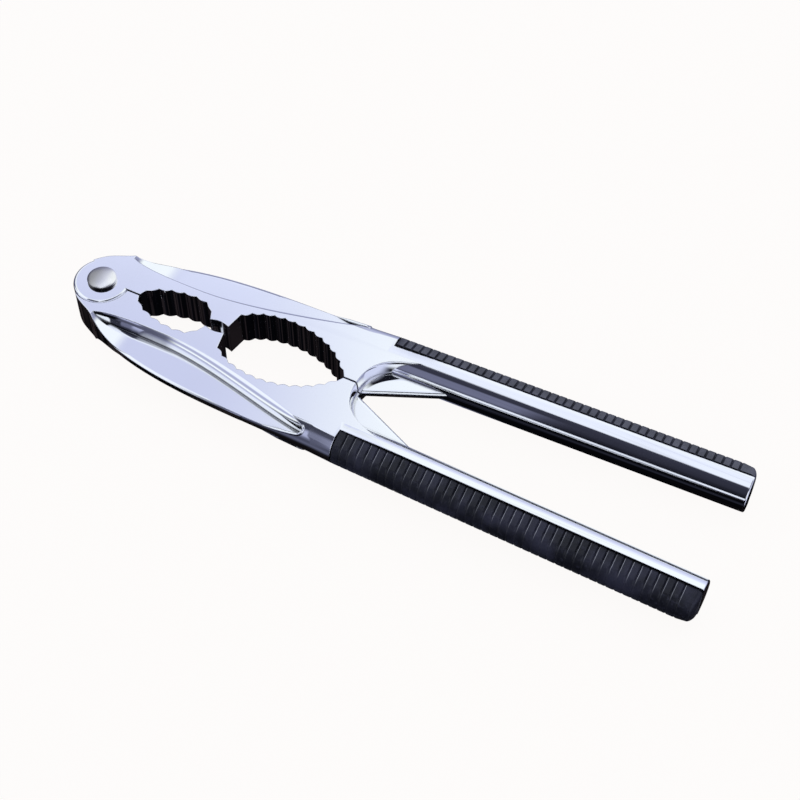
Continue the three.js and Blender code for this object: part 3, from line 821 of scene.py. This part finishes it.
    def nose_lines(self) -> tuple[Curve, Curve]:
        """The pocket's rim round its nose, and from there back to the wing's edge."""
        (tip_x, tip_y), width = self.nose, self.nose_width
        rim_x, rim_y = tip_x - 0.85 * width, tip_y + 0.6 * width
        span = rim_x - self.rim_leaves
        nose = bezier(
            self.nose_side(), (tip_x + 0.12 * width, tip_y - 0.12 * width),
            (tip_x + 0.16 * width, tip_y + 0.5 * width), (rim_x, rim_y), 24,
        )
        leaves = value_at(self.wing_curve(), self.rim_leaves)
        rim = bezier(
            (rim_x, rim_y), (rim_x - 0.24 * span, rim_y + 0.2 * width),
            (self.rim_leaves + 0.35 * span, rim_y + 0.14 * width),
            (self.rim_leaves, leaves + 0.1), 24,
        )
        return nose, rim

    def bead(self) -> BMesh:
        """Rounded lip that the polishing leaves round the pocket's nose."""
        nose, rim = self.nose_lines()
        points = []
        for x, y in [*nose, *rim[1:16]]:
            centre, radius = self.bar_at(x)
            rise = sqrt(max(0.04, radius**2 - (y - centre) ** 2))
            points.append(Vector((x, y, min(self.half, rise) - 0.35 * self.bead_radius)))
        rings = []
        for i, point in enumerate(points):
            along = (points[min(i + 1, len(points) - 1)] - points[max(i - 1, 0)]).normalized()
            side = along.cross(Vector((0, 0, 1))).normalized()
            up = side.cross(along)
            swell = self.bead_radius * min(1.0, 0.25 + i / 5, 0.25 + (len(points) - 1 - i) / 8)
            turns = [tau * k / 10 for k in range(10)]
            rings.append([point + swell * (cos(t) * side + sin(t) * up) for t in turns])
        return loft(rings)

    def bar_at(self, x: float) -> tuple[float, float]:
        """Height in plan and radius of the bar at one x."""
        if x >= self.neck_x:
            share = min(1.0, (x - self.neck_x) / (self.lip_x - self.neck_x))
            growth = self.handle_radius - self.neck_radius
            return self.axis_at(x), self.neck_radius + share * growth
        share = min(1.0, (x - self.taper_start) / (self.taper_end - self.taper_start))
        growth = self.neck_radius - self.root_radius
        radius = self.root_radius + growth * (1 - (1 - share) ** 1.5)
        neck = self.axis_at(x) + self.neck_radius
        outer = value_at(self.wing_curve(), x) * (1 - share**3) + neck * share**3
        return outer - radius, radius

    def bar(self) -> BMesh:
        """Tapered root, neck, collar and handle as one round bar."""
        span = self.lip_x - self.taper_start
        places = [self.taper_start + span * i / 32 for i in range(33)]
        stations = [(x, *self.bar_at(x)) for x in places]
        for inset, drop in reversed(arc_points(self.end_round, self.end_round, 8)):
            x = self.end_x - drop
            stations.append((x, self.axis_at(x), self.handle_radius - inset))
        rings = []
        for x, y, radius in stations:
            ring = []
            tilt = radians(self.splay_deg) if x >= self.neck_x else 0.0
            for i in range(self.steps):
                angle = tau * i / self.steps
                off = radius * sin(angle)
                ring.append(Vector((x - off * sin(tilt), y + off * cos(tilt),
                                    radius * cos(angle))))
            rings.append(ring)
        return loft(rings)

    def neck_flats(self) -> BMesh:
        """Space over the bar that levels the neck's top with the plateau."""
        start, span = self.neck_flat_end, self.throat_end - self.neck_flat_end
        rise = self.handle_radius + 0.02 - self.half  # just clears the handle's top
        shares = [i / 16 for i in range(17)]
        slope = [(start + span * share, self.half + rise * eased(share)) for share in shares]
        profile = [(40.0, self.half), *slope, (self.throat_end, 12.0), (40.0, 12.0)]
        return loft([[Vector((x, y, z)) for x, z in profile] for y in (0.0, 30.0)])

    def grip_seat(self) -> BMesh:
        """Outer half of the handle, which the grip fills."""
        start, along, across = self.split()
        run, rise = along * 130, across * BEYOND  # past the handle's end and its side
        corners = [start, start + run, start + run + rise, start + rise]
        return prism([tuple(p) for p in corners], -BEYOND, BEYOND)

    def web(self) -> BMesh:
        """Thin web across the throat's corner."""
        return rounded_rims(prism(self.web_outline, -self.floor, self.floor), self.web_rim, 8)

    def wing(self) -> BMesh:
        """Thin plate under the pocket, with its rims crowned."""
        edge = []
        for x, y in self.wing_curve()[1:]:
            past = max(0.0, x - self.rim_leaves) / (self.taper_end - self.rim_leaves)
            if past < 1:
                edge.append((x, y - self.root_radius * past))
        outer = [*self.head_curve()[12:], *edge]
        rings = []
        top = [radians(self.crown_deg) * i / 6 for i in range(7)]
        for side, turns in ((1, top), (-1, reversed(top))):
            for turn in turns:
                inset = self.crown * (sin(top[-1]) - sin(turn))
                moved = [(point.x + inset * along.y, point.y - inset * along.x)
                         for point, along in evenly(outer, len(outer))]
                height = self.floor - self.crown * (1 - cos(turn))
                rings.append(level([*moved, (78.0, 12.0), (20.0, 3.0)], side * height))
        return loft(rings)

    def eye(self) -> BMesh:
        """Round boss of the lever's own half."""
        profile = [(0.0, self.lap / 2), (self.eye_radius, self.lap / 2)]
        for inset, drop in reversed(arc_points(self.eye_round, self.eye_round, 10)):
            profile.append((self.eye_radius - inset, self.half - drop))
        profile.append((0.0, self.half))
        return turned(profile, self.eye_steps)

    def build(self) -> Block:
        """The finished casting, in the upper lever's frame."""
        block = Block("lever", self.body()).joined(self.bar())
        block.both_faces(self.neck_flats, Cut.REMOVE)
        block.both_faces(self.pocket, Cut.REMOVE)
        block.joined(self.wing()).joined(self.web())
        block.both_faces(self.bead, Cut.JOIN)
        block.without(prism(self.jaw_line(), -BEYOND, BEYOND))
        block.without(self.grip_seat())
        clear = self.eye_radius + self.lap
        block.without(disc(clear, -BEYOND, self.lap / 2, self.eye_steps))
        block.joined(self.eye())
        return block.without(disc(self.bore, -BEYOND, BEYOND, self.eye_steps))


# ---- Grip ----


@dataclass
class Grip:
    """Ribbed rubber grip, drawn on the upper lever."""

    lever: Lever
    radius: float = 6.22
    knee_deg: float = 45.0
    gap: float = 0.3
    seam: float = 0.5  # between its flat back and the lever
    pitch: float = 2.365
    ribs: int = 42
    groove_width: float = 0.62
    groove_depth: float = 0.5  # on the flat flanks
    groove_side: float = 0.13  # round the side
    groove_turn: Point = (30.0, 25.0)  # degrees from the side where it deepens, and how many
    groove_form: tuple = ((-1.5, 0.0), (-1.0, 0.09), (-0.62, 0.8), (0.0, 1.0), (0.62, 0.8),
                          (1.0, 0.09), (1.5, 0.0))  # (half widths, share of the depth)
    end_corner: float = 3.2
    end_round: float = 1.5
    around: int = 44  # faces round the side

    @property
    def length(self) -> float:
        """From the lip to the handle's end."""
        return (self.lever.end_x - self.lever.lip_x) / cos(radians(self.lever.splay_deg))

    def section(self, angle: float) -> float:
        """Radius factor: flat flanks down to each knee, then round."""
        knee = radians(self.knee_deg)
        from_split = min(angle, pi - angle)
        if from_split >= knee:
            return 1.0
        return cos(knee / 2) / cos(from_split - knee / 2)

    def groove_at(self, angle: float) -> float:
        """Depth of a groove at an angle of the section: shallower round the side."""
        start, run = self.groove_turn
        share = eased((abs(90 - degrees(angle)) - start) / run)
        return self.groove_side + (self.groove_depth - self.groove_side) * share

    def stations(self) -> list[tuple[float, float, float]]:
        """(distance from the lip, depth all round, share of the groove) along the grip."""
        found = [(self.gap, 0.25, 0.0), (self.gap + 0.08, 0.07, 0.0), (self.gap + 0.25, 0.0, 0.0)]
        half = self.groove_width / 2
        for i in range(1, self.ribs + 1):
            groove = self.gap + i * self.pitch
            found += [(groove + share * half, 0.0, depth) for share, depth in self.groove_form]
        for inset, drop in reversed(arc_points(self.end_round, self.end_round, 8)):
            found.append((self.length - drop, inset, 0.0))
        return found

    def build(self) -> Block:
        """The finished grip, in the upper lever's frame."""
        start, along, across = (part.to_3d() for part in self.lever.split())
        rings = []
        for run, inset, groove in self.stations():
            late = max(0.0, run - (self.length - self.end_corner))
            room = sqrt(max(0.0, self.end_corner**2 - late**2))
            squash = 1 - (self.end_corner - room) / self.radius
            ring = []
            for i in range(self.around + 1):
                angle = pi * i / self.around
                depth = inset + groove * self.groove_at(angle)
                radius = (self.radius - depth) * self.section(angle)
                out = max(self.seam, radius * sin(angle) * squash)
                ring.append(start + along * run + across * out
                            + Vector((0, 0, radius * cos(angle))))
            rings.append(ring)
        block = Block("grip", loft(rings))
        self.mark_lips(block.object.data, start, along, across)
        return block

    def mark_lips(self, mesh: Mesh, start: Vector, along: Vector, across: Vector) -> None:
        """Marks the painted highlight along each rib's edge on one flank, the painted lighter ribs
        on the other, and the painted shade along the seam.
        """
        mesh.attributes.new("lip", "FLOAT", "POINT")
        mesh.attributes.new("seam", "FLOAT", "POINT")
        lips, seams = mesh.attributes["lip"].data, mesh.attributes["seam"].data
        for vertex, item, seam in zip(mesh.vertices, lips, seams):
            out = vertex.co - start
            turn = (out.dot(along) - self.gap) / self.pitch
            past = (turn - round(turn)) * self.pitch / (self.groove_width / 2)
            flank = degrees(atan2(out.dot(across), abs(out.z)))
            # painted highlight: lines just past each groove on one flank, whole ribs painted
            # lighter on the other
            rib_highlight = 0.7 < past < 1.2 and 0 < round(turn) <= self.ribs
            wear_and_painted_light = float(rib_highlight) if out.z < 0 else 0.16 * float(abs(past) > 1.2)
            item.value = wear_and_painted_light * held((58 - flank) / 20)
            # painted shade along the seam between the grip and the lever
            seam.value = float(out.dot(across) < self.seam + 0.05)


# ---- Pivot ----


@dataclass
class Pivot:
    """The rivet through both eyes, and the washer under its formed tail."""

    seat: float = 5.85
    shank: float = 2.5
    head_radius: float = 4.2
    head_rim: float = 0.62
    dome: float = 0.78
    washer_radius: float = 4.6
    washer_thickness: float = 0.6
    washer_hole: float = 2.7
    tail_radius: float = 3.6
    tail_dome: float = 0.9
    play: float = 0.15
    ease: float = 0.12  # on the washer's outer rims
    steps: int = 128

    @staticmethod
    def domed(radius: float, base: float, height: float) -> Curve:
        """(radius, z) of a shallow dome from its rim to the axis."""
        turns = [pi / 2 * i / 24 for i in range(25)]
        found = [(radius * cos(t), base + height * sin(t)) for t in turns]
        return [*found[:-1], (0.0, base + height)]

    def rivet(self) -> Block:
        """Domed head, shank and formed tail."""
        tail = -(self.seat + self.play + self.washer_thickness)
        profile = [
            *reversed(self.domed(self.tail_radius, tail, -self.tail_dome)),
            (self.shank, tail), (self.shank, self.seat),
            (self.head_radius - 0.15, self.seat), (self.head_radius, self.seat + 0.15),
            *self.domed(self.head_radius, self.seat + self.head_rim, self.dome),
        ]
        return Block("rivet", turned(profile, self.steps))

    def washer(self) -> Block:
        """Flat washer with its outer rims eased."""
        high = -self.seat
        low = high - self.washer_thickness
        rim, flat = self.washer_radius, self.washer_radius - self.ease
        profile = [(0.0, low), (flat, low), (rim, low + self.ease), (rim, high - self.ease),
                   (flat, high), (0.0, high)]
        block = Block("washer", turned(profile, self.steps))
        return block.without(disc(self.washer_hole, low - 1, high + 1, self.steps))


# ---- Studio ----


@dataclass
class Studio:
    """Pale floor, soft light and the camera."""

    target: tuple = (0.00444, 0.0, 0.0132)
    azimuth_deg: float = 26.759
    elevation_deg: float = 53.340
    distance: float = 0.45582
    lens: float = 75.873
    paper: Colour = (0.975, 0.957, 0.944, 1.0)
    floor_half: float = 4.0

    def camera(self) -> None:
        """Places the camera."""
        a, e = radians(self.azimuth_deg), radians(self.elevation_deg)
        back = Vector((sin(a) * cos(e), -cos(a) * cos(e), sin(e)))
        data = bpy.data.cameras.new("camera")
        data.lens = self.lens
        data.clip_start, data.clip_end = 0.01, 20.0
        camera = linked("camera", data)
        camera.location = Vector(self.target) + back * self.distance
        camera.rotation_euler = (-back).to_track_quat("-Z", "Y").to_euler()
        bpy.context.scene.camera = camera

    def floor(self) -> None:
        """Lays the pale floor."""
        bm = bmesh.new()
        bmesh.ops.create_grid(bm, x_segments=1, y_segments=1, size=self.floor_half)
        floor = Block("studio_floor", bm).object
        floor.visible_glossy = False
        floor.visible_diffuse = False
        paper = bpy.data.materials.new("studio_paper")
        graph = Graph(paper)
        shader = graph.add("BsdfPrincipled", {}, {
            "Base Color": (0.05, 0.05, 0.05, 1.0), "Roughness": 1.0,
            "Specular IOR Level": 0.0,
            "Emission Color": self.paper, "Emission Strength": 0.98,
        })
        graph.add("OutputMaterial", {}, {"Surface": shader})
        floor.data.materials.append(paper)

    def light(self) -> None:
        """Soft light: white overhead and behind, dark in front, softboxes to the left."""
        world = bpy.data.worlds.new("studio")
        bpy.context.scene.world = world
        graph = Graph(world)
        x, y, z = graph.parts(graph.add("TexCoord", output="Generated"))
        mix = graph.mix
        tilt = (-1.0 * y).bearing(z) * (180 / pi)  # 0 overhead, 90 at the front
        turn = (tilt + 180) / 360

        def bands(*stops: tuple[float, float]) -> Signal:
            """Tones by tilt, from (degrees, shade) pairs."""
            toned = [((angle + 180) / 360, tone(shade)) for angle, shade in stops]
            return graph.add("ValToRGB", {"stops": toned}, {"Fac": turn})

        streak = graph.noise(graph.add("TexCoord", output="Generated"), 9.0, 3.0)
        murk = mix(streak.ramp(0.42, 0.62), tone(12), (0.021, 0.016, 0.018, 1.0))
        # overhead and behind, with other fields towards the left and right ends
        roof = bands((-145, 10), (-140, 240), (-128, 250), (-113, 90), (-104, 110), (-90, 190),
                     (-78, 210), (-66, 230), (-58, 253), (-36, 252), (-12, 236), (4, 240))
        under = tilt.ramp(-104, -112)
        roof = mix(under * x.ramp(-0.19, -0.26), roof, tone(120))
        left = bands((-120, 165), (-56, 182), (-43, 226), (-37, 228), (-32, 204), (-20, 206),
                     (-8, 240), (10, 240))
        roof = mix(x.ramp(-0.24, -0.38), roof, left)
        roof = mix(x.ramp(-0.46, -0.52) * tilt.ramp(-60, -40), roof, tone(250))
        roof = mix(x.ramp(-0.72, -0.85), roof, tone(110))
        roof = mix(x.ramp(0.5, 0.8), roof, tone(150))
        low = tilt.ramp(-118, -132) * x.ramp(-0.27, -0.32)
        roof = mix(low.most(under * x.ramp(-0.03, 0.02)), roof, murk)
        # in front: dark, with softboxes one behind another towards the left
        front = bands((30, 56), (60, 48), (86, 22), (112, 12), (124, 42), (132, 13))
        block = x.ramp(-0.14, -0.17) * tilt.ramp(40, 47) * (1 - tilt.ramp(72, 92))
        front = mix(block, front, tone(110))
        near = bands((16, 60), (40, 64), (54, 170), (64, 182), (76, 176), (90, 108), (102, 72),
                     (112, 80), (121, 94), (138, 34), (150, 12))
        front = mix(x.ramp(-0.29, -0.335), front, near)
        valley = x.ramp(-0.385, -0.4) * (1 - tilt.ramp(118, 130))
        front = mix(valley, front, tone(86))
        far = bands((34, 246), (52, 236), (62, 182), (76, 170), (88, 176), (99, 250), (110, 250),
                    (121, 60), (150, 20))
        front = mix((x + 0.0006 * (tilt - 45)).ramp(-0.39, -0.49), front, far)
        front = mix(tilt.ramp(134, 142) * x.ramp(-0.2, -0.5).most(x.ramp(-0.1, 0.1)), front, murk)
        # the roof ends at a slanting edge, and the right side covers both
        edge = 29.5 + 55.0 * x.most(-0.34)
        full = mix((tilt - edge).ramp(-3.5, 2.5), roof, front)
        right = bands((-24, 250), (-10, 28), (38, 28), (48, 245), (84, 245), (94, 16), (140, 12))
        right = mix(x.ramp(0.42, 0.72) * tilt.ramp(150, 138), right, tone(218))
        full = mix(x.ramp(0.08, 0.15) * tilt.ramp(-30, -24), full, right)
        shader = graph.add("Background", {}, {"Color": full, "Strength": 1.07})
        graph.add("OutputWorld", {}, {"Surface": shader})

    def build(self) -> None:
        """Sets the whole studio up."""
        bpy.context.scene.view_settings.view_transform = "Standard"
        self.camera()
        self.floor()
        self.light()


# ---- Assembly ----


def dress(piece: Object, node: str, body: str, material: Material) -> None:
    """Gives a piece its finish and its body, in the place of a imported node."""
    piece.data.materials.clear()
    piece.data.materials.append(material)
    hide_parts(node)
    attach(piece, body)
    log.info("%s: %d faces on %s", piece.name, len(piece.data.polygons), body)


def main() -> None:
    """Builds the studio and the nutcracker."""
    logging.basicConfig(level=logging.INFO, format="%(name)s %(message)s")
    Studio().build()
    chrome, rubber, satin = Chrome().material(), Rubber().material(), SatinSteel().material()

    lever = Lever()
    casting = lever.build()
    casting.tidied(join=0.01, flat_deg=0.2).shaded(sharp_deg=28)
    grip = Grip(lever).build().shaded(sharp_deg=50)
    for arm, side in ((Arm.UPPER, "upper"), (Arm.LOWER, "lower")):
        piece = placed(f"{side}_casting", casting, arm)
        dress(piece, f"{side}_lever", arm.value, chrome)
        sleeve = placed(f"{side}_sleeve", grip, arm)
        dress(sleeve, f"{side}_grip", arm.value, rubber)

    pivot = Pivot()
    for name, block, node in (
        ("rivet", pivot.rivet(), "pivot_rivet"),
        ("washer", pivot.washer(), "rivet_washer"),
    ):
        piece = placed(name, block.shaded(sharp_deg=40), Arm.UPPER)
        dress(piece, node, Arm.LOWER.value, satin)
        bpy.data.objects.remove(block.object)
    for block in (casting, grip):
        bpy.data.objects.remove(block.object)


if __name__ == "__main__":
    main()
